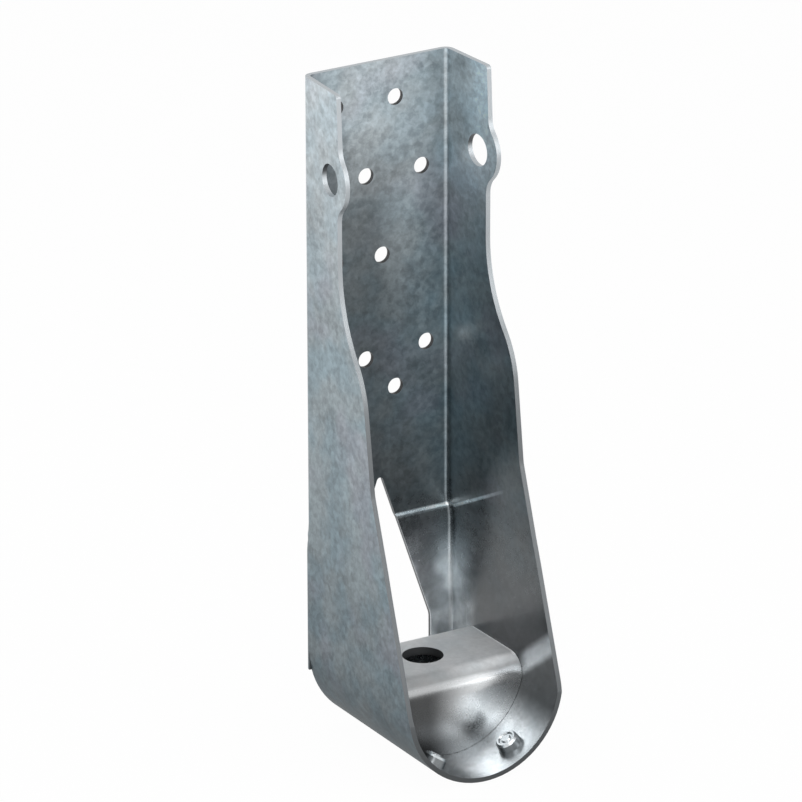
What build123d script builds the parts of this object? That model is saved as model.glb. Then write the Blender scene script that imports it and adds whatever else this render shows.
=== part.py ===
"""Hold down bracket: one folded and rolled steel sheet, with a pressed seat plate standing in its trough.

X is the width, the back faces +Y and Z is up. The shapes are drawn from the back's rear face, at y = 0,
and from the trough's lowest line, at z = 0. The finished pieces have their origin at the anchor hole.
"""
import os
from math import atan, cos, pi, radians, sin, tan

from build123d import *

# Sheet and overall sizes, in mm
height = 277.8
depth = 83.5
sheet = 2.0
bend_radius = 3.9
trough_radius = 35.5
trough_rear_radius = 34.95

# Back: its width above the crease, and what changes below it
back_width = 67.4
crease_height = 84.6
crease_run = 1.9
crease_set = 0.75
mouth_half = 35.3

# Steps in which the channel narrows past the crease: height from the crease's middle, and share done
crease_half = crease_run / 2
narrowing = [(-5.6, 0.0), (-2.6, 0.15), (-crease_half, 0.38), (crease_half, 0.62), (2.6, 0.85), (5.6, 1.0)]

# Front edge of each flange, as depths from the back
top_edge = 29.3
ear_edge = 30.8
waist_edge = 29.2
shoulder_edge = 48.4
flare_edge = 54.1

# Drops of the same edge's corners from the top
waist_drop = 90.8
shoulder_drop = 116.0
flare_drop = 159.1
flare_slope = 0.3334

# Radii of the same edge's corners
top_corner = 1.5
waist_radius = 58.0
shoulder_radius = 39.0
flare_radius = 12.0
foot_radius = 3.0

# Ears and the holes through them
ear_set = 23.2
ear_drop = 36.6
ear_radius = 13.3
ear_blend = 9.0
ear_hole = 13.2

# Opening between the two back legs
leg_width = 11.7
leg_tail = 8.5
opening_apex = 104.9
opening_angle = 19.1
opening_tip_radius = 1.5
opening_side_radius = 8.0

# Screw holes in the back: place across the width, and drop from the top edge
screw_hole = 6.9
screw_places = [
    (-19.4, 16.1), (7.8, 16.1),
    (-5.8, 47.0), (19.8, 47.0),
    (-19.8, 81.3), (1.5, 81.3),
    (-6.2, 124.2), (21.7, 121.8),
    (-19.5, 138.2), (7.4, 138.2),
]

# Press joints: round studs raised on the inside of the trough, one on each side
stud_angle = 32.7
stud_edge = 11.7
stud_foot = 10.2
stud_rise = 3.9
stud_draft = 7.5
stud_crown = 0.9
crown_draft = 40.0
stud_ring = 6.4
ring_depth = 0.7
ring_draft = 35.0
stud_dome = 4.4
dome_rise = 0.7

# Seat plate and its place in the trough
plate = 3.4
seat_height = 36.6
seat_front = 25.7
seat_rear = 15.3
front_roll = 10.0
rear_bend = 5.0
seat_clearance = 0.15
anchor_set = 34.8
anchor_hole = 16.7
rod_hole = 20.0

# Stock that is left past an edge before it is cut
trim = 2.0

reach = -(depth + trim)
waist_height = height - waist_drop
shoulder_height = height - shoulder_drop
flare_height = height - flare_drop
foot_height = flare_height - (depth - flare_edge) / flare_slope
crease_middle = crease_height - crease_half
crease_edge = flare_edge + (flare_height - crease_height) * flare_slope
lower_slope = (trough_radius - trough_rear_radius) / (depth - crease_set - bend_radius)
trough_rear = -crease_set - bend_radius
wall = sheet / cos(atan(lower_slope))


def flange_corner(half_rear, slope):
    """Half width where the outer faces of back and flange would meet; the bend's start stays in place."""
    return half_rear - bend_radius * (1 - tan(pi / 4 - atan(slope) / 2))


def channel_plan(level, rear, half_rear, slope):
    """Plan of the folded sheet at one level: a back and two flanges that open by the slope."""
    corner = flange_corner(half_rear, slope)
    front = corner + (rear - reach) * slope
    across = sheet / cos(atan(slope))
    inner_rear = rear - sheet
    inner_corner = corner - across + sheet * slope
    inner_front = front - across + trim * slope
    with BuildSketch(Plane.XY.offset(level)) as plan:
        with BuildLine():
            outside = FilletPolyline(
                (-front, reach), (-corner, rear), (corner, rear), (front, reach), radius=bend_radius
            )
            Line(outside @ 1, outside @ 0)
        make_face()
        with BuildLine():
            inside = FilletPolyline(
                (-inner_front, reach - trim), (-inner_corner, inner_rear),
                (inner_corner, inner_rear), (inner_front, reach - trim), radius=bend_radius - sheet
            )
            Line(inside @ 1, inside @ 0)
        make_face(mode=Mode.SUBTRACT)
    return plan.sketch


def upper_slope(edge):
    """How fast the upper flanges open, so that they are as wide as the mouth at this edge depth."""
    return (mouth_half - back_width / 2) / (edge - bend_radius)


def lower_side(y):
    """Half width over the sheet, below the crease, at one depth."""
    return flange_corner(trough_rear_radius, lower_slope) + (-crease_set - y) * lower_slope


def side_outline():
    """Side view of the flanges and trough: everything outside it is cut away."""
    with BuildSketch(Plane.YZ.offset(-back_width)) as side:
        with BuildLine():
            FilletPolyline(
                (trim, height), (-top_edge, height), (-ear_edge, height - ear_drop + ear_blend),
                (-waist_edge, height - ear_drop - ear_blend), (-waist_edge, waist_height),
                (-shoulder_edge, shoulder_height), (-flare_edge, flare_height), (-depth, foot_height),
                (-depth, -trim), (trim, -trim),
                radius=(0, top_corner, 0, 0, waist_radius, shoulder_radius, flare_radius, foot_radius, 0, 0),
                close=True,
            )
        make_face()
        with Locations((-ear_set, height - ear_drop)):
            Circle(ear_radius)
        joins = [
            side.vertices().sort_by_distance((-ear_edge, height - ear_drop + ear_radius))[0],
            side.vertices().sort_by_distance((-waist_edge, height - ear_drop - ear_radius))[0],
        ]
        fillet(joins, ear_blend)
    return side.sketch


with BuildPart() as bracket_body:
    # Folded channel: straight below the crease, opening and twisting slightly above it
    upper_half = back_width / 2
    add(channel_plan(trough_radius, -crease_set, trough_rear_radius, lower_slope))
    for rise, share in narrowing:
        rear = -crease_set if rise < 0 else 0
        half_rear = trough_rear_radius + (upper_half - trough_rear_radius) * share
        slope = lower_slope + (upper_slope(crease_edge) - lower_slope) * share
        add(channel_plan(crease_middle + rise, rear, half_rear, slope))
    add(channel_plan(height + trim, 0, upper_half, upper_slope(top_edge)))
    loft(ruled=True)

    # Trough, rolled from the same side walls
    with BuildSketch(Plane.XY.offset(trough_radius)):
        with BuildLine():
            Polyline(
                (lower_side(trough_rear), trough_rear), (lower_side(reach), reach),
                (lower_side(reach) - wall, reach), (lower_side(trough_rear) - wall, trough_rear),
                close=True,
            )
        make_face()
    revolve(axis=Axis((0, 0, trough_radius), (0, 1, 0)), revolution_arc=180)

    # Outline of the flanges and ears
    extrude(side_outline(), amount=2 * back_width, mode=Mode.INTERSECT)

    # Tails of the legs, with their share of the bends, which hang behind the trough's rear end
    with BuildSketch(Plane.XY.offset(trough_radius - leg_tail)):
        add(channel_plan(0, -crease_set, trough_rear_radius, lower_slope))
        with Locations((0, trough_rear / 2)):
            Rectangle(2 * back_width, -trough_rear, mode=Mode.INTERSECT)
    extrude(amount=leg_tail)

    # Opening between the back legs
    opening_half = trough_rear_radius - leg_width
    opening_low = opening_apex - opening_half / tan(radians(opening_angle))
    with BuildSketch(Plane.XZ):
        with BuildLine():
            FilletPolyline(
                (-opening_half, 0), (-opening_half, opening_low), (0, opening_apex),
                (opening_half, opening_low), (opening_half, 0),
                radius=(0, opening_side_radius, opening_tip_radius, opening_side_radius, 0), close=True,
            )
        make_face()
    extrude(amount=crease_set + bend_radius, mode=Mode.SUBTRACT)

    # Screw holes in the back
    with BuildSketch(Plane.XZ):
        with Locations([(x, height - drop) for x, drop in screw_places]):
            Circle(screw_hole / 2)
    extrude(amount=sheet + trim, mode=Mode.SUBTRACT)

    # Ear holes, through both flanges
    with BuildSketch(Plane.YZ.offset(-back_width)):
        with Locations((-ear_set, height - ear_drop)):
            Circle(ear_hole / 2)
    extrude(amount=2 * back_width, mode=Mode.SUBTRACT)

    # Press studs, each raised towards the middle of the trough, with a sunk ring round a low dome
    stud_y = stud_edge - depth
    inner_radius = lower_side(stud_y) - sheet
    crown_start = stud_rise - stud_crown
    root_radius = stud_foot / 2 + sheet / 2 * tan(radians(stud_draft))
    crown_radius = stud_foot / 2 - crown_start * tan(radians(stud_draft))
    for lean in (-radians(stud_angle), radians(stud_angle)):
        middle = (inner_radius * sin(lean), stud_y, trough_radius - inner_radius * cos(lean))
        inward = Plane(middle, x_dir=(0, 1, 0), z_dir=(-sin(lean), 0, cos(lean)))
        with BuildSketch(inward.offset(-sheet / 2)):
            Circle(root_radius)
        extrude(amount=sheet / 2 + crown_start, taper=stud_draft)
        with BuildSketch(inward.offset(crown_start)):
            Circle(crown_radius)
        extrude(amount=stud_crown, taper=crown_draft)
        with BuildSketch(inward.offset(stud_rise)):
            Circle(stud_ring / 2)
        extrude(amount=-ring_depth, taper=ring_draft, mode=Mode.SUBTRACT)
        with BuildSketch(inward.offset(stud_rise - ring_depth)):
            Circle(stud_dome / 2)
        extrude(amount=dome_rise, taper=ring_draft)

    # Hole for the anchor rod, under the one in the seat plate
    with Locations((0, -anchor_set, 0)):
        Hole(rod_hole / 2, depth=trough_radius / 2)


def seat_side(y):
    """Half width left for the seat plate between the side walls, less its clearance."""
    return lower_side(y) - wall - seat_clearance


with BuildPart() as seat_room:
    # Inside of the trough and of the channel just above it
    with BuildSketch(Plane.XY.offset(trough_radius)):
        with BuildLine():
            Polyline(
                (0, trough_rear), (seat_side(trough_rear), trough_rear),
                (seat_side(-depth), -depth), (0, -depth),
                close=True,
            )
        make_face()
    revolve(axis=Axis((0, 0, trough_radius), (0, 1, 0)), revolution_arc=180)
    with BuildSketch(Plane.XY.offset(trough_radius)):
        with BuildLine():
            Polyline(
                (-seat_side(trough_rear), trough_rear), (seat_side(trough_rear), trough_rear),
                (seat_side(-depth), -depth), (-seat_side(-depth), -depth),
                close=True,
            )
        make_face()
    extrude(amount=seat_height)

with BuildPart() as seat_plate:
    # Pressed plate with a rear wall, a flat top and a rolled front wall
    rear_face = -seat_rear
    front_face = seat_front - depth
    with BuildSketch(Plane.YZ.offset(-trough_radius)):
        with BuildLine():
            FilletPolyline(
                (rear_face, 0), (rear_face, seat_height), (front_face, seat_height), (front_face, 0),
                radius=(0, rear_bend, front_roll, 0), close=True,
            )
        make_face()
        with BuildLine():
            FilletPolyline(
                (rear_face - plate, -trim), (rear_face - plate, seat_height - plate),
                (front_face + plate, seat_height - plate), (front_face + plate, -trim),
                radius=(0, rear_bend - plate, front_roll - plate, 0), close=True,
            )
        make_face(mode=Mode.SUBTRACT)
    extrude(amount=2 * trough_radius)
    add(seat_room.part, mode=Mode.INTERSECT)

    # Hole for the anchor rod
    with Locations((0, -anchor_set, seat_height)):
        Hole(anchor_hole / 2, depth=2 * plate)

# The origin is moved to the middle of the anchor hole, on the seat's top face
to_anchor = Pos(0, anchor_set, -seat_height)
bracket_body.part.locate(to_anchor)
seat_plate.part.locate(to_anchor)
bracket_body.part.label = "bracket_body"
seat_plate.part.label = "seat_plate"

os.makedirs("parts", exist_ok=True)
export_step(bracket_body.part, "parts/bracket_body.step")
export_step(seat_plate.part, "parts/seat_plate.step")
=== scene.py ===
"""Looks of the hold down bracket: galvanised sheet body and pressed seat plate, in a plain studio."""
from __future__ import annotations

import logging
import math
from abc import ABC, abstractmethod
from dataclasses import dataclass, field
from enum import Enum
from typing import Union

import bmesh
import bpy
from mathutils import Matrix, Vector


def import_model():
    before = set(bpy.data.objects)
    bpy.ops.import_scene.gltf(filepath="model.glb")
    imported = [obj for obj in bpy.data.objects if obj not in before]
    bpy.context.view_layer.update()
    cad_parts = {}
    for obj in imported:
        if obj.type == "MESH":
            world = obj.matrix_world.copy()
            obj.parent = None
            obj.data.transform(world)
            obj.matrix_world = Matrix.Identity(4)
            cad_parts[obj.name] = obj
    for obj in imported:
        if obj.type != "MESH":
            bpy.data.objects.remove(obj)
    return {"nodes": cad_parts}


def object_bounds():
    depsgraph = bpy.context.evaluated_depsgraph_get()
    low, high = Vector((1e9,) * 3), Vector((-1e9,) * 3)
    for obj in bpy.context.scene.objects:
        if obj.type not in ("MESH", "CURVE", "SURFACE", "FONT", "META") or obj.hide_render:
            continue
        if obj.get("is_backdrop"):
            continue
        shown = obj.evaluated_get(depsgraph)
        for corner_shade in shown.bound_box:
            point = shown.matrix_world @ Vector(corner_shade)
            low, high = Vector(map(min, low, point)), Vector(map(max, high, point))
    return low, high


LOG = logging.getLogger("hold_down_bracket")
IMAGE_SIZE = 802
FLOOR_GAP = 0.0002
MM_PER_M = 1000
# Waves in a metre of the noise that bends the crystals' outlines
PULLS_PER_M = 420

Triple = tuple[float, float, float]


class Gloss(Enum):
    """How rough each kind of surface is."""

    SHEET = 0.34
    LOW_SHEET = 0.24
    SEAT = 0.42
    LOW_SEAT = 0.27
    CUT_EDGE = 0.45


@dataclass(frozen=True)
class Ramp:
    """The two values between which a share goes smoothly from one end to the other."""

    low: float
    high: float


@dataclass(frozen=True)
class Grain:
    """A noise: the length of its longest waves, how many finer layers it has and how strong they are."""

    wave_mm: float
    detail: float
    roughness: float = 0.5


class Shade:
    """One output of a shader node, with operators that add the Math nodes of an expression."""

    def __init__(self, graph: Graph, socket: bpy.types.NodeSocket) -> None:
        """Wraps a socket.

        Args:
            graph: The node tree that the socket is in.
            socket: The output socket.
        """
        self.graph = graph
        self.socket = socket

    def _math(self, operation: str, first: Value, second: Value) -> Shade:
        """Adds one Math node.

        Args:
            operation: The Math node's operation.
            first: Its first value.
            second: Its second value.

        Returns:
            The node's output.
        """
        return self.graph.add("ShaderNodeMath", {"operation": operation}, {0: first, 1: second}, "Value")

    def __add__(self, other: Value) -> Shade:
        """self + other."""
        return self._math("ADD", self, other)

    def __radd__(self, other: Value) -> Shade:
        """other + self."""
        return self._math("ADD", other, self)

    def __sub__(self, other: Value) -> Shade:
        """self - other."""
        return self._math("SUBTRACT", self, other)

    def __rsub__(self, other: Value) -> Shade:
        """other - self."""
        return self._math("SUBTRACT", other, self)

    def __mul__(self, other: Value) -> Shade:
        """self * other."""
        return self._math("MULTIPLY", self, other)

    def __rmul__(self, other: Value) -> Shade:
        """other * self."""
        return self._math("MULTIPLY", other, self)

    def __abs__(self) -> Shade:
        """The value without its sign."""
        return self._math("ABSOLUTE", self, 0.0)

    def least(self, other: Value) -> Shade:
        """The smaller of this and another value."""
        return self._math("MINIMUM", self, other)


Value = Union[Shade, float, tuple[float, ...]]


def between(first: Value, second: Value, share: Value) -> Value:
    """The first value where a share is 0, the second where it is 1."""
    return first + (second - first) * share


class Graph:
    """The nodes of one material or world."""

    def __init__(self, tree: bpy.types.NodeTree) -> None:
        """Empties a node tree to fill it.

        Args:
            tree: The node tree.
        """
        self.tree = tree
        tree.nodes.clear()

    def add(self, kind: str, settings: dict, inputs: dict, output: str | int) -> Shade:
        """Adds any node: its settings first, then the values and links of its sockets.

        Args:
            kind: The node's type.
            settings: The node's own settings.
            inputs: A value or a Shade for each socket that is given, by name or number.
            output: The output socket that is wanted, by name or number.

        Returns:
            That output.
        """
        node = self.tree.nodes.new(kind)
        for name, value in settings.items():
            setattr(node, name, value)
        self._join(node, inputs)
        return Shade(self, node.outputs[output])

    def close(self, kind: str, surface: Shade) -> None:
        """Adds the output node, with the surface joined to it.

        Args:
            kind: The output node's type.
            surface: The surface shader.
        """
        self._join(self.tree.nodes.new(kind), {"Surface": surface})

    def _join(self, node: bpy.types.Node, inputs: dict) -> None:
        """Sets or links a node's input sockets.

        Args:
            node: The node.
            inputs: A value or a Shade for each socket, by name or number.
        """
        for key, value in inputs.items():
            if isinstance(value, Shade):
                self.tree.links.new(value.socket, node.inputs[key])
            else:
                node.inputs[key].default_value = value

    def blend(self, factor: Value, first: Shade | Triple, second: Shade | Triple) -> Shade:
        """A colour between two colours.

        Args:
            factor: 0 for the first, 1 for the second.
            first: A colour.
            second: A colour.

        Returns:
            The mixed colour.
        """
        first, second = (v if isinstance(v, Shade) else (*v, 1.0) for v in (first, second))
        return self.add("ShaderNodeMix", {"data_type": "RGBA"}, {0: factor, 6: first, 7: second}, 2)

    def scale(self, vector: Shade | Triple, level: Value) -> Shade:
        """A colour or vector times a level."""
        inputs = {"Vector": vector, "Scale": level}
        return self.add("ShaderNodeVectorMath", {"operation": "SCALE"}, inputs, "Vector")

    def split(self, vector: Shade) -> tuple[Shade, Shade, Shade]:
        """The three numbers of a vector."""
        x, y, z = (self.add("ShaderNodeSeparateXYZ", {}, {"Vector": vector}, axis) for axis in "XYZ")
        return x, y, z

    def rise(self, value: Value, ramp: Ramp) -> Shade:
        """0 below a ramp, 1 above it and smooth between its ends.

        Args:
            value: The value that the ramp is along.
            ramp: The ramp.

        Returns:
            The share.
        """
        inputs = {"Value": value, "From Min": ramp.low, "From Max": ramp.high}
        return self.add("ShaderNodeMapRange", {"interpolation_type": "SMOOTHSTEP"}, inputs, "Result")

    def fall(self, value: Value, ramp: Ramp) -> Shade:
        """1 below a ramp, 0 above it and smooth between its ends."""
        return 1 - self.rise(value, ramp)

    def noise(self, place: Shade, grain: Grain, output: str = "Fac") -> Shade:
        """Noise from 0 to 1.

        Args:
            place: Where, in metres.
            grain: The noise's waves.
            output: Fac for one number, Color for three.

        Returns:
            The noise.
        """
        waves = {"Scale": MM_PER_M / grain.wave_mm, "Detail": grain.detail, "Roughness": grain.roughness}
        return self.add("ShaderNodeTexNoise", {}, {"Vector": place, **waves}, output)


class Spot:
    """A point of a surface as its material sees it: where it is and which way it faces."""

    def __init__(self, graph: Graph) -> None:
        """Adds the nodes that give the point.

        Args:
            graph: The material's nodes.
        """
        self.graph = graph
        self.place = graph.add("ShaderNodeTexCoord", {}, {}, "Object")
        self.x, self.y, self.z = graph.split(self.place)
        self.from_middle = abs(self.x)
        self.normal = graph.add("ShaderNodeNewGeometry", {}, {}, "True Normal")
        _, self.rearward, self.upward = graph.split(self.normal)
        self.forward = -1 * self.rearward


@dataclass(frozen=True)
class Zone:
    """A stretch of a surface between limits in metres, each fading along its ramp, and the zone's level."""

    level: float = 1.0
    left_of: Ramp | None = None
    beyond: Ramp | None = None
    within: Ramp | None = None
    behind: Ramp | None = None
    ahead_of: Ramp | None = None
    above: Ramp | None = None
    below: Ramp | None = None

    def share(self, spot: Spot) -> Value:
        """1 between the limits, 0 outside them."""
        share: Value = 1.0
        for along, start, end in (
            (spot.x, None, self.left_of),
            (spot.from_middle, self.beyond, self.within),
            (spot.y, self.behind, self.ahead_of),
            (spot.z, self.above, self.below),
        ):
            if start:
                share = share * spot.graph.rise(along, start)
            if end:
                share = share * spot.graph.fall(along, end)
        return share

    def scaled(self, spot: Spot, level: Value, on_face: Value = 1.0) -> Value:
        """A level, times the zone's own inside the zone.

        Args:
            spot: The point of the surface.
            level: The level before this.
            on_face: 1 on the faces that have the zone, 0 on the others.

        Returns:
            The level.
        """
        return level * between(1, self.level, on_face * self.share(spot))

    def replaced(self, spot: Spot, level: Value, on_face: Value = 1.0) -> Value:
        """A level, with the zone's own in its place inside the zone.

        Args:
            spot: The point of the surface.
            level: The level before this.
            on_face: 1 on the faces that have the zone, 0 on the others.

        Returns:
            The level.
        """
        return between(level, self.level, on_face * self.share(spot))


@dataclass(frozen=True)
class Stripe(Zone):
    """A zone along a line that is level behind its bend and climbs steadily ahead of it."""

    height: float = 0.0
    bend: float = 0.0
    climb: float = 0.0
    half_width: Ramp = Ramp(0.0, 0.001)

    def share(self, spot: Spot) -> Shade:
        """1 along the line and between the zone's limits, 0 away from them."""
        line = self.height - self.climb * (spot.y - self.bend).least(0.0)
        return spot.graph.fall(abs(spot.z - line), self.half_width) * super().share(spot)


class Layout(ABC):
    """What a finish asks about a piece, with the answers for a piece that has no such place."""

    @abstractmethod
    def cut_edge(self, spot: Spot) -> Shade:
        """1 on cut edges and the walls of holes, 0 elsewhere."""

    @abstractmethod
    def level(self, spot: Spot, level: Shade) -> Shade:
        """The zinc's level, with the zones that the photo shows darker or paler.

        Args:
            spot: The point of the surface.
            level: The level before this.

        Returns:
            The level.
        """

    def frost_and_painted_light(self, spot: Spot) -> Value:
        """Up to 1 in patches of frost and painted light."""
        return 0.0

    def inner(self, spot: Spot) -> Value:
        """1 inside the bracket, 0 on its outer faces."""
        return 1.0

    def edge_level(self, spot: Spot) -> Value:
        """The level of the cut edges."""
        return 1.0


@dataclass(frozen=True)
class SheetLayout(Layout):
    """Where the folded sheet's faces and cut edges are, and its zones of painted shade and painted light."""

    trough_centre: float = -0.0011
    side_turn: Ramp = Ramp(0.1, 0.5)
    front_turn: Ramp = Ramp(0.5, 0.9)
    face_turn: Ramp = Ramp(0.25, 0.6)
    bend: Zone = Zone(behind=Ramp(0.0309, 0.0311))
    back: Zone = Zone(within=Ramp(0.0296, 0.0298), behind=Ramp(0.0324, 0.0326))
    back_front: Zone = Zone(behind=Ramp(0.029, 0.031))
    stud_row: float = -0.037
    stud_reach: Ramp = Ramp(0.0065, 0.0075)
    stud_height: Ramp = Ramp(-0.018, -0.014)
    # Painted shade: darker low down on the outer faces.
    outside: Zone = Zone(level=0.36, below=Ramp(-0.034, 0.012))
    # Painted shade on the back's front face beside the left flange, up to a height that slopes at the left.
    corner_shade: Zone = Zone(level=0.36, left_of=Ramp(-0.008, 0.026))
    corner_top: Ramp = Ramp(0.17, 0.226)
    corner_bend: float = -0.012
    corner_slope: float = 2.6
    # Painted light at the top of the flanges' inner faces, weaker at their rear (top_rear).
    top: Zone = Zone(level=2.0, above=Ramp(0.155, 0.215))
    top_rear: Zone = Zone(level=0.25, behind=Ramp(0.010, 0.024))
    # Painted shade low on the front halves of the flanges' inner faces.
    front: Zone = Zone(level=0.47, ahead_of=Ramp(0.006, 0.026), below=Ramp(0.05, 0.09))
    # Painted light on the trough's inner face.
    trough: Zone = Zone(level=2.0, below=Ramp(-0.026, -0.012))
    # Painted light on the legs' front faces and beside them, in patches where the zinc also has duller frost.
    legs: Zone = Zone(level=3.4, above=Ramp(-0.03, -0.01), below=Ramp(0.016, 0.044))
    beside_legs: Zone = Zone(level=0.8, behind=Ramp(0.012, 0.026))
    patches: Grain = Grain(15, 1)
    patch_edge: Ramp = Ramp(0.38, 0.6)
    patch_least: float = 0.5
    # Painted highlight along the crease on the back and the flanges' inner faces.
    crease: Stripe = Stripe(
        level=4.4, behind=Ramp(-0.012, 0.014), height=0.0477, bend=0.029, climb=0.5,
        half_width=Ramp(0.0003, 0.0011),
    )
    # Painted highlight in a band on the flanges' inner faces that goes on from the seat's roll.
    band: Stripe = Stripe(
        level=5.5, ahead_of=Ramp(-0.026, -0.018), height=-0.004, bend=-0.020, climb=0.73,
        half_width=Ramp(0.002, 0.007),
    )
    # The cut edges' level rises with height: painted shade low down, painted light at the top.
    edge_base: float = 0.42
    edge_middle: Zone = Zone(level=0.45, above=Ramp(-0.03, 0.02))
    edge_top_light: Zone = Zone(level=1.6, above=Ramp(0.08, 0.2))
    # Painted shade on the walls of the screw holes.
    screw_hole_shade: Zone = Zone(
        level=0.05, within=Ramp(0.0276, 0.0296), behind=Ramp(0.0325, 0.0327), above=Ramp(0.085, 0.09),
        below=Ramp(0.234, 0.236),
    )
    # Painted shade on the upper wall of the ear hole.
    ear_hole: tuple[float, float] = (0.0116, 0.2046)
    ear_reach: Ramp = Ramp(0.0068 ** 2, 0.007 ** 2)
    ear_upper: Ramp = Ramp(-0.001, 0.002)
    ear_shade_level: float = 0.2

    def facing(self, spot: Spot) -> Shade:
        """1 on the outer face of a side wall or the trough, -1 on its inner face."""
        graph = spot.graph
        down = (spot.z - self.trough_centre).least(0.0)
        away = graph.add("ShaderNodeCombineXYZ", {}, {0: spot.x, 1: 0.0, 2: down}, "Vector")
        outward = graph.add("ShaderNodeVectorMath", {"operation": "NORMALIZE"}, {0: away}, "Vector")
        normals = {0: spot.normal, 1: outward}
        return graph.add("ShaderNodeVectorMath", {"operation": "DOT_PRODUCT"}, normals, "Value")

    def inward(self, spot: Spot) -> Shade:
        """1 on the inner faces of the side walls and the trough, 0 elsewhere."""
        return spot.graph.rise(-1 * self.facing(spot), self.side_turn)

    def on_back(self, spot: Spot) -> Shade:
        """1 on the front face of the back and its legs, 0 elsewhere."""
        return spot.graph.rise(spot.forward, self.front_turn) * self.back_front.share(spot)

    def cut_edge(self, spot: Spot) -> Shade:
        """1 on the sheet's cut edges and on the walls of its holes, 0 on its faces and studs."""
        graph = spot.graph
        facing = self.facing(spot)
        sideways = facing * facing * (1 - self.back.share(spot))
        turned = sideways + spot.rearward * spot.rearward * self.bend.share(spot)
        by_stud = graph.fall(abs(spot.y - self.stud_row), self.stud_reach)
        by_stud = by_stud * graph.fall(spot.z, self.stud_height)
        return graph.fall(turned, self.face_turn) * (1 - by_stud)

    def level(self, spot: Spot, level: Shade) -> Shade:
        """The zinc's level, with the zones that the photo shows darker or paler.

        Args:
            spot: The point of the surface.
            level: The level before this.

        Returns:
            The level, with painted shade low on the outside, on the left of the back and low on the flanges'
            front halves, painted light in the trough, on the legs and at the top of the flanges' inner faces,
            and painted highlights along the crease and in a band that goes on from the seat's roll to their
            front edges.
        """
        inward = self.inward(spot)
        on_back = self.on_back(spot)
        # Painted shade low on the outer faces.
        level = self.outside.scaled(spot, level, 1 - self.inner(spot))
        # Painted shade in the corner beside the left flange.
        height = spot.z + self.corner_slope * (spot.x - self.corner_bend).least(0.0)
        level = self.corner_shade.scaled(spot, level, on_back * spot.graph.fall(height, self.corner_top))
        # Painted light at the top of the flanges' inner faces.
        level = self.top.scaled(spot, level, self.top_rear.scaled(spot, inward))
        # Painted shade low on the front of the flanges' inner faces.
        level = self.front.scaled(spot, level, inward)
        # Painted light in the trough.
        level = self.trough.replaced(spot, level, inward)
        # Painted light in the legs' patches of frost.
        level = between(level, self.legs.level, self.frost_and_painted_light(spot))
        # Painted highlight along the crease.
        level = self.crease.scaled(spot, level, (inward + on_back).least(1.0))
        # Painted highlight in a band that goes on from the seat's roll.
        return self.band.scaled(spot, level, inward)

    def frost_and_painted_light(self, spot: Spot) -> Shade:
        """Up to 1 in patches of frost and painted light on the legs' front faces and beside them on the
        flanges.
        """
        beside = self.beside_legs.level * self.beside_legs.share(spot) * self.inward(spot)
        near = (self.on_back(spot) + beside).least(1.0) * self.legs.share(spot)
        patches = spot.graph.rise(spot.graph.noise(spot.place, self.patches), self.patch_edge)
        return near * between(self.patch_least, 1, patches)

    def inner(self, spot: Spot) -> Shade:
        """0 on the outer faces of the side walls and the trough, 1 elsewhere."""
        return spot.graph.fall(self.facing(spot), self.side_turn)

    def edge_level(self, spot: Spot) -> Shade:
        """The cut edges' level: painted light at the top, painted shade low down, in screw holes and high in
        ear holes.
        """
        graph = spot.graph
        level = self.edge_base + self.edge_middle.level * self.edge_middle.share(spot)
        level = level + self.edge_top_light.level * self.edge_top_light.share(spot)
        across, above = spot.y - self.ear_hole[0], spot.z - self.ear_hole[1]
        in_ear = graph.fall(across * across + above * above, self.ear_reach)
        in_ear = in_ear * graph.rise(above, self.ear_upper)
        return self.screw_hole_shade.scaled(spot, level) * between(1, self.ear_shade_level, in_ear)


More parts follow.
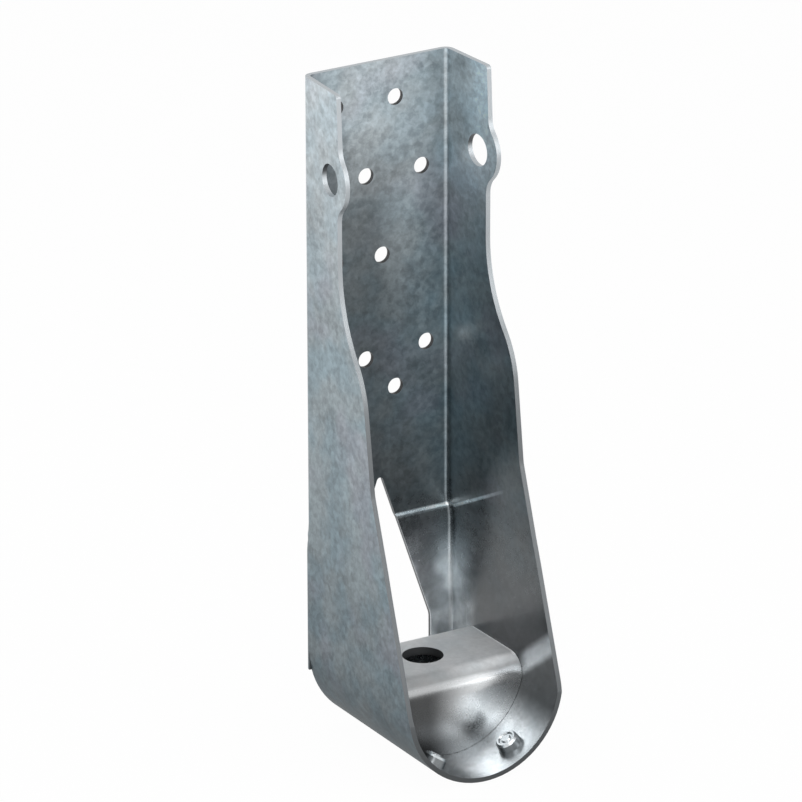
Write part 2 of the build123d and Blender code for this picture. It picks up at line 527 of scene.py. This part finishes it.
@dataclass(frozen=True)
class PlateLayout(Layout):
    """Where the seat plate's hole, front wall, roll and rims are, and their levels of painted shade and
    light.
    """

    hole_radius: float = 0.00835
    hole_near: float = 1.01
    hole_far: float = 1.03
    hole_turn: Ramp = Ramp(0.3, 0.6)
    under_turn: Ramp = Ramp(0.3, 0.7)
    # Painted shade under the plate.
    under_shade_level: float = 0.5
    front_turn: Ramp = Ramp(0.85, 0.99)
    # Painted shade on the left of the plate's front wall, painted reflection on its right.
    wall_left_shade: float = 0.3
    wall_right_reflection: float = 2.9
    front_middle: Ramp = Ramp(-0.012, 0.014)
    # Painted shade at the foot of the front wall.
    foot: Zone = Zone(level=0.38, below=Ramp(-0.030, -0.020))
    roll_turn: Ramp = Ramp(0.12, 0.4)
    # Painted shade on the left of the roll and painted highlight on its right.
    roll_left_shade: float = 0.64
    roll_right_highlight: float = 1.5
    roll_middle: Ramp = Ramp(-0.012, 0.026)
    # Painted highlight on the upward faces of the plate's rims beside the flanges.
    rim_turn: Ramp = Ramp(0.9, 0.95)
    rim_highlight: Zone = Zone(level=1.5, beyond=Ramp(0.0318, 0.0328))

    def cut_edge(self, spot: Spot) -> Shade:
        """1 on the wall of the anchor hole, 0 elsewhere."""
        near, far = self.hole_near * self.hole_radius, self.hole_far * self.hole_radius
        inside = spot.graph.fall(spot.x * spot.x + spot.y * spot.y, Ramp(near ** 2, far ** 2))
        return inside * spot.graph.fall(abs(spot.upward), self.hole_turn)

    def level(self, spot: Spot, level: Shade) -> Shade:
        """The zinc's level, with the zones that the photo shows darker or paler.

        Args:
            spot: The point of the surface.
            level: The level before this.

        Returns:
            The level, with painted shade below the plate and on the left and foot of its front wall, a
            painted reflection on the wall's right, and painted highlights on the right of the roll and on the
            rims.
        """
        graph = spot.graph
        under = graph.rise(-1 * spot.upward, self.under_turn)
        front = graph.rise(spot.forward, self.front_turn)
        roll = graph.rise(spot.forward, self.roll_turn) * (1 - front)
        wall_shade_and_reflection = between(self.wall_left_shade, self.wall_right_reflection, graph.rise(spot.x, self.front_middle))
        wall_shade_and_reflection = self.foot.scaled(spot, wall_shade_and_reflection)
        roll_shade_and_highlight = between(self.roll_left_shade, self.roll_right_highlight, graph.rise(spot.x, self.roll_middle))
        level = level * between(1, self.under_shade_level, under)
        level = level * between(1, wall_shade_and_reflection, front) * between(1, roll_shade_and_highlight, roll)
        return self.rim_highlight.scaled(spot, level, graph.rise(spot.upward, self.rim_turn))


@dataclass(frozen=True)
class Speckle:
    """How much a layer of the pattern changes the tone, and at which of its values it changes nothing."""

    weight: float
    middle: float

    def change(self, layer: Shade) -> Shade:
        """What the layer adds to the tone."""
        return self.weight * (layer - self.middle)


@dataclass(frozen=True)
class ZincFinish:
    """Galvanised steel: fine crystals with frost on them, soft clouds of tone and a slightly wavy skin."""

    name: str
    grey: Triple
    blue: Triple
    violet: Triple
    bright: Triple
    edge: Triple
    gloss: Gloss
    low_gloss: Gloss
    low: Ramp
    # Painted shade: the level low down; painted light: the level high up, over the ramp high.
    low_shade_level: float
    low_metallic: float
    high_light_level: float
    crystal_mm: float
    contrast: float
    metallic: float
    skin: Grain
    layout: Layout
    high: Ramp = Ramp(0.10, 0.235)
    bright_height: Ramp = Ramp(0.12, 0.2)
    bright_high: float = 0.35
    bright_polished: float = 0.75
    blue_patches: Grain = Grain(17, 2)
    blue_edge: Ramp = Ramp(0.36, 0.62)
    violet_patches: Grain = Grain(24, 1)
    violet_edge: Ramp = Ramp(0.5, 0.72)
    violet_share: float = 0.6
    pull: Grain = Grain(MM_PER_M / PULLS_PER_M, 3)
    pull_reach: float = 0.003
    crystal_softness: float = 0.7
    frost: Grain = Grain(2.4, 3, 0.6)
    frost_edge: Ramp = Ramp(0.3, 0.72)
    clouds: Grain = Grain(19, 3, 0.55)
    crystal_tone: Speckle = Speckle(0.8, 0.5)
    frost_tone: Speckle = Speckle(0.9, 0.4)
    cloud_tone: Speckle = Speckle(1.3, 0.5)
    calming: float = 0.5
    matt_rough: float = 0.25
    speckle_rough: float = 0.05
    cut_dulling: float = 0.2
    frost_dulling: float = 0.5
    skin_strength: float = 0.16
    skin_depth: float = 0.0002

    def paint(self, material: bpy.types.Material) -> None:
        """Builds the finish in a material.

        Args:
            material: The material, whose nodes are replaced.
        """
        material.use_nodes = True
        graph = Graph(material.node_tree)
        spot = Spot(graph)
        low = graph.fall(spot.z, self.low)
        polished = low * self.layout.inner(spot)
        calm = 1 - self.calming * polished
        crystals, frost = self._speckles(spot)
        cut = self.layout.cut_edge(spot)
        zinc = graph.scale(self._colour(spot, polished), self._tone(spot, low, calm, crystals, frost))
        edge = graph.scale(self.edge, self.layout.edge_level(spot))
        rough = between(self.gloss.value, self.low_gloss.value, polished) + self.matt_rough * (low - polished)
        rough = rough + self.speckle_rough * calm * (frost + crystals - 1)
        metallic = between(self.metallic, self.low_metallic, low)
        metallic = metallic - self.cut_dulling * cut - self.frost_dulling * self.layout.frost_and_painted_light(spot)
        skin = {"Strength": self.skin_strength, "Distance": self.skin_depth}
        skin["Height"] = graph.noise(spot.place, self.skin)
        inputs = {
            "Base Color": graph.blend(cut, zinc, edge),
            "Metallic": metallic,
            "Roughness": between(rough, Gloss.CUT_EDGE.value, cut),
            "Normal": graph.add("ShaderNodeBump", {}, skin, "Normal"),
        }
        surface = graph.add("ShaderNodeBsdfPrincipled", {}, inputs, "BSDF")
        graph.close("ShaderNodeOutputMaterial", surface)

    def _colour(self, spot: Spot, polished: Shade) -> Shade:
        """The zinc's colour before its tone.

        Args:
            spot: The point of the surface.
            polished: 1 where the zinc is smoothest.

        Returns:
            Grey with bluer and more violet patches, and brighter high up and where it is polished.
        """
        graph = spot.graph
        greyer = graph.rise(graph.noise(spot.place, self.blue_patches), self.blue_edge)
        violet = graph.rise(graph.noise(spot.place, self.violet_patches), self.violet_edge)
        bright = self.bright_polished * polished + self.bright_high * graph.rise(spot.z, self.bright_height)
        colour = graph.blend(greyer, self.blue, self.grey)
        colour = graph.blend(self.violet_share * violet, colour, self.violet)
        return graph.blend(bright, colour, self.bright)

    def _tone(self, spot: Spot, low: Shade, calm: Shade, crystals: Shade, frost: Shade) -> Shade:
        """The zinc's tone: its pattern times its level, with painted light high up and painted shade low
        down.

        Args:
            spot: The point of the surface.
            low: 1 low on the piece.
            calm: How strong the pattern is.
            crystals: The crystals' layer.
            frost: The frost's layer.

        Returns:
            The factor for the colour.
        """
        clouds = spot.graph.noise(spot.place, self.clouds)
        change = self.crystal_tone.change(crystals) + self.frost_tone.change(frost)
        change = change + self.cloud_tone.change(clouds)
        # Painted light high up and painted shade low down: the level changes with height.
        light_and_shade_by_height = (self.high_light_level - 1) * spot.graph.rise(spot.z, self.high) + (self.low_shade_level - 1) * low
        return (1 + self.contrast * calm * change) * self.layout.level(spot, 1 + light_and_shade_by_height)

    def _speckles(self, spot: Spot) -> tuple[Shade, Shade]:
        """The fine layers of the zinc's pattern.

        Args:
            spot: The point of the surface.

        Returns:
            The crystals and the frost on them, each about 0 to 1.
        """
        graph = spot.graph
        pull = graph.scale(graph.noise(spot.place, self.pull, "Color"), self.pull_reach)
        bent = graph.add("ShaderNodeVectorMath", {"operation": "ADD"}, {0: spot.place, 1: pull}, "Vector")
        inputs = {"Vector": bent, "Scale": MM_PER_M / self.crystal_mm, "Smoothness": self.crystal_softness}
        cells = graph.add("ShaderNodeTexVoronoi", {"feature": "SMOOTH_F1"}, inputs, "Color")
        crystals = graph.add("ShaderNodeSeparateColor", {}, {"Color": cells}, "Red")
        return crystals, graph.rise(graph.noise(bent, self.frost), self.frost_edge)


@dataclass
class DressedNode:
    """A CAD node that keeps its shape and gets its finish."""

    node: str
    finish: ZincFinish

    def dress(self, nodes: dict[str, bpy.types.Object]) -> bpy.types.Object:
        """Puts the finish in the node's material slots.

        Args:
            nodes: The frame's nodes by name.

        Returns:
            The node's object.
        """
        piece = nodes[self.node]
        material = bpy.data.materials.new(self.finish.name)
        self.finish.paint(material)
        piece.data.materials.clear()
        piece.data.materials.append(material)
        return piece


@dataclass(frozen=True)
class SoftPanel:
    """A soft light panel that looks at the bracket."""

    name: str
    place: Triple
    aim: Triple
    width: float
    height: float
    radiance: float

    def hang(self) -> None:
        """Makes the light."""
        lamp = bpy.data.lights.new(self.name, "AREA")
        lamp.shape = "RECTANGLE"
        lamp.size, lamp.size_y = self.width, self.height
        lamp.energy = self.radiance * math.pi * self.width * self.height
        holder = bpy.data.objects.new(self.name, lamp)
        bpy.context.scene.collection.objects.link(holder)
        holder.location = self.place
        holder.rotation_euler = (Vector(self.aim) - Vector(self.place)).to_track_quat("-Z", "Y").to_euler()
        holder.visible_camera = False


@dataclass
class Studio:
    """A plain pale floor under a white surround, with soft panels."""

    floor_level: float
    floor_half: float = 4.0
    floor_colour: Triple = (0.8, 0.8, 0.8)
    floor_white: float = 0.975
    fill: float = 0.55
    panels: list[SoftPanel] = field(default_factory=list)

    def build(self) -> None:
        """Makes the surround, the floor and the lights."""
        self._surround()
        self._floor()
        for panel in self.panels:
            panel.hang()
            LOG.info("light %s", panel.name)

    @staticmethod
    def _seen(graph: Graph) -> Shade:
        """1 for rays that show the background: the camera's, and reflected and refracted ones."""
        rays = ("Is Camera Ray", "Is Glossy Ray", "Is Transmission Ray")
        camera, gloss, through = (graph.add("ShaderNodeLightPath", {}, {}, ray) for ray in rays)
        return (camera + gloss + through).least(1.0)

    def _surround(self) -> None:
        """White to rays that show it, and a plain grey fill to the rest."""
        world = bpy.data.worlds.new("surround")
        bpy.context.scene.world = world
        world.use_nodes = True
        graph = Graph(world.node_tree)
        inputs = {"Color": (1, 1, 1, 1), "Strength": between(self.fill, 1, self._seen(graph))}
        light = graph.add("ShaderNodeBackground", {}, inputs, "Background")
        graph.close("ShaderNodeOutputWorld", light)

    def _floor(self) -> None:
        """The floor, which keeps the bracket's shadow."""
        shape = bmesh.new()
        bmesh.ops.create_grid(shape, x_segments=1, y_segments=1, size=self.floor_half,
                              matrix=Matrix.Translation((0, 0, self.floor_level)))
        mesh = bpy.data.meshes.new("floor")
        shape.to_mesh(mesh)
        shape.free()
        floor = bpy.data.objects.new("floor", mesh)
        bpy.context.scene.collection.objects.link(floor)
        material = bpy.data.materials.new("pale_floor")
        material.use_nodes = True
        graph = Graph(material.node_tree)
        matt = graph.add("ShaderNodeBsdfDiffuse", {}, {"Color": (*self.floor_colour, 1)}, "BSDF")
        white = graph.add("ShaderNodeEmission", {}, {"Color": (1, 1, 1, 1), "Strength": 1.0}, "Emission")
        shown = self.floor_white * self._seen(graph)
        mixed = graph.add("ShaderNodeMixShader", {}, {0: shown, 1: matt, 2: white}, "Shader")
        graph.close("ShaderNodeOutputMaterial", mixed)
        mesh.materials.append(material)
        floor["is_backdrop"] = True


@dataclass(frozen=True)
class StudioCamera:
    """The camera, looking at the bracket from its front left and above."""

    azimuth: float = 30.959
    elevation: float = 21.25
    roll: float = 0.201
    distance: float = 3.3635
    target: Triple = (0.0, -0.0052, 0.1023)
    target_pixel: tuple[float, float] = (429.03, 420.83)
    focal_pixels: float = 8517.0
    sensor: float = 36.0

    def place(self) -> None:
        """Makes the camera and sets it as the scene's."""
        az, el, roll = (math.radians(a) for a in (self.azimuth, self.elevation, self.roll))
        ahead = Vector((math.sin(az) * math.cos(el), math.cos(az) * math.cos(el), -math.sin(el)))
        level = Vector((math.cos(az), -math.sin(az), 0))
        plumb = ahead.cross(level)
        right = math.cos(roll) * level + math.sin(roll) * plumb
        down = math.cos(roll) * plumb - math.sin(roll) * level
        per_pixel = self.distance / self.focal_pixels
        across, below = ((p - IMAGE_SIZE / 2) * per_pixel for p in self.target_pixel)
        eye = Vector(self.target) - across * right - below * down - self.distance * ahead
        lens = bpy.data.cameras.new("camera")
        lens.sensor_width = self.sensor
        lens.lens = self.focal_pixels * self.sensor / IMAGE_SIZE
        holder = bpy.data.objects.new("camera", lens)
        bpy.context.scene.collection.objects.link(holder)
        turn = Matrix((right, -down, -ahead)).transposed().to_4x4()
        holder.matrix_world = Matrix.Translation(eye) @ turn
        bpy.context.scene.camera = holder


SHEET = ZincFinish(
    name="galvanised_sheet",
    grey=(0.255, 0.30, 0.32),
    blue=(0.222, 0.287, 0.32),
    violet=(0.268, 0.285, 0.325),
    bright=(0.285, 0.29, 0.295),
    edge=(0.17, 0.182, 0.19),
    gloss=Gloss.SHEET,
    low_gloss=Gloss.LOW_SHEET,
    low=Ramp(0.0, 0.10),
    # Painted shade low on the body and painted light high up.
    low_shade_level=0.72,
    low_metallic=0.95,
    high_light_level=1.45,
    crystal_mm=3.0,
    contrast=0.38,
    metallic=0.88,
    skin=Grain(11, 1),
    layout=SheetLayout(),
)
SEAT = ZincFinish(
    name="galvanised_seat",
    grey=(0.60, 0.612, 0.62),
    blue=(0.55, 0.575, 0.59),
    violet=(0.60, 0.60, 0.61),
    bright=(0.60, 0.612, 0.62),
    # Near black: painted shade on the wall of the anchor hole.
    edge=(0.06, 0.063, 0.066),
    gloss=Gloss.SEAT,
    low_gloss=Gloss.LOW_SEAT,
    low=Ramp(-0.005, -0.001),
    # Painted shade on the plate's roll, front wall and underside.
    low_shade_level=0.42,
    low_metallic=1.0,
    high_light_level=1.0,
    crystal_mm=4.0,
    contrast=0.14,
    metallic=0.1,
    skin=Grain(13, 1),
    layout=PlateLayout(),
)
PANELS = [
    SoftPanel("front_panel", place=(0.32, -0.56, 0.46), aim=(0.32, 0, 0.46), width=0.46, height=0.56,
              radiance=2.4),
    SoftPanel("side_panel", place=(-0.33, 0.54, 0.36), aim=(0, 0, 0.16), width=0.40, height=0.72,
              radiance=1.3),
    SoftPanel("top_panel", place=(-0.12, -0.10, 0.95), aim=(0, 0, 0.1), width=0.55, height=0.55,
              radiance=1.6),
    SoftPanel("high_panel", place=(-0.34, -0.70, 0.62), aim=(0, 0, 0.1), width=0.40, height=0.40,
              radiance=3.0),
]


def main() -> None:
    """Loads the frame, dresses its nodes, builds the studio and places the camera."""
    logging.basicConfig(level=logging.INFO, format="%(name)s: %(message)s")
    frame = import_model()
    cad_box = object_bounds()
    for part in (DressedNode("bracket_body", SHEET), DressedNode("seat_plate", SEAT)):
        piece = part.dress(frame["nodes"])
        LOG.info("piece %s, finish %s, %d faces", piece.name, part.finish.name, len(piece.data.polygons))
    Studio(floor_level=cad_box[0].z - FLOOR_GAP, panels=PANELS).build()
    StudioCamera().place()
    bpy.context.scene.view_settings.view_transform = "Standard"


if __name__ == "__main__":
    main()
